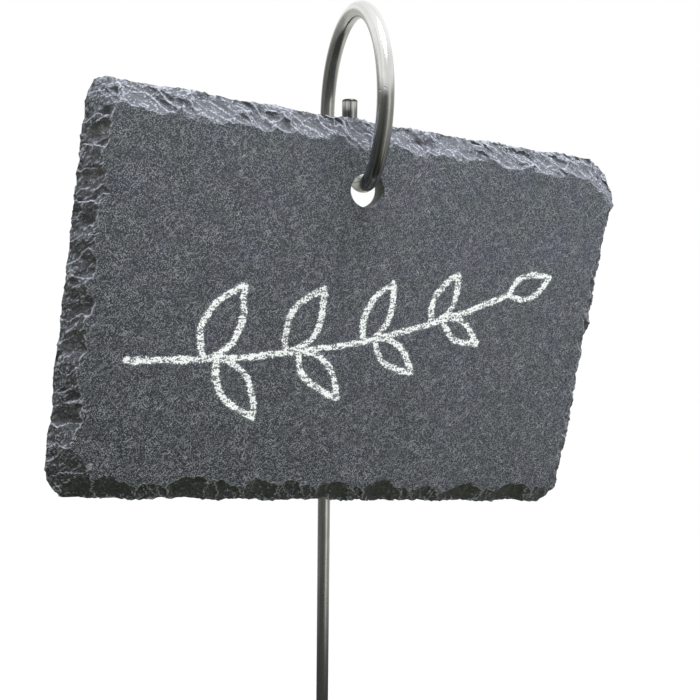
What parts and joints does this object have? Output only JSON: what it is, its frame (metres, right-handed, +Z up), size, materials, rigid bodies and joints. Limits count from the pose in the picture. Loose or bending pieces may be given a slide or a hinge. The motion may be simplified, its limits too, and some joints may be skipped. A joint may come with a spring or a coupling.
{
  "type": "plant label stake",
  "caption": "Rectangular slate tag with chipped edges, hung through a hole on the ring of a bent steel wire stake that pushes into soil.",
  "frame": {"origin": "axis of the straight stake at the soil line", "axes": "+Z up along the stake, -Y out of the tag's written face, X across the tag"},
  "size_m": [0.1154, 0.0378, 0.2789],
  "materials": {
    "wire": "drawn steel wire, satin with fine lengthwise grain",
    "slate": "matt riven slate, blue grey, with a chalk drawing on the front"
  },
  "bodies": {
    "stake": {"wire_stake": "wire"},
    "tag": {"slate_tag": "slate"}
  },
  "joints": [
    {"name": "tag_swing", "type": "hinge", "parent": "stake", "child": "tag", "pos_m": [0, -0.02413, 0.16981], "axis": [0, 1, 0], "range_deg": [-68, 56]}
  ]
}
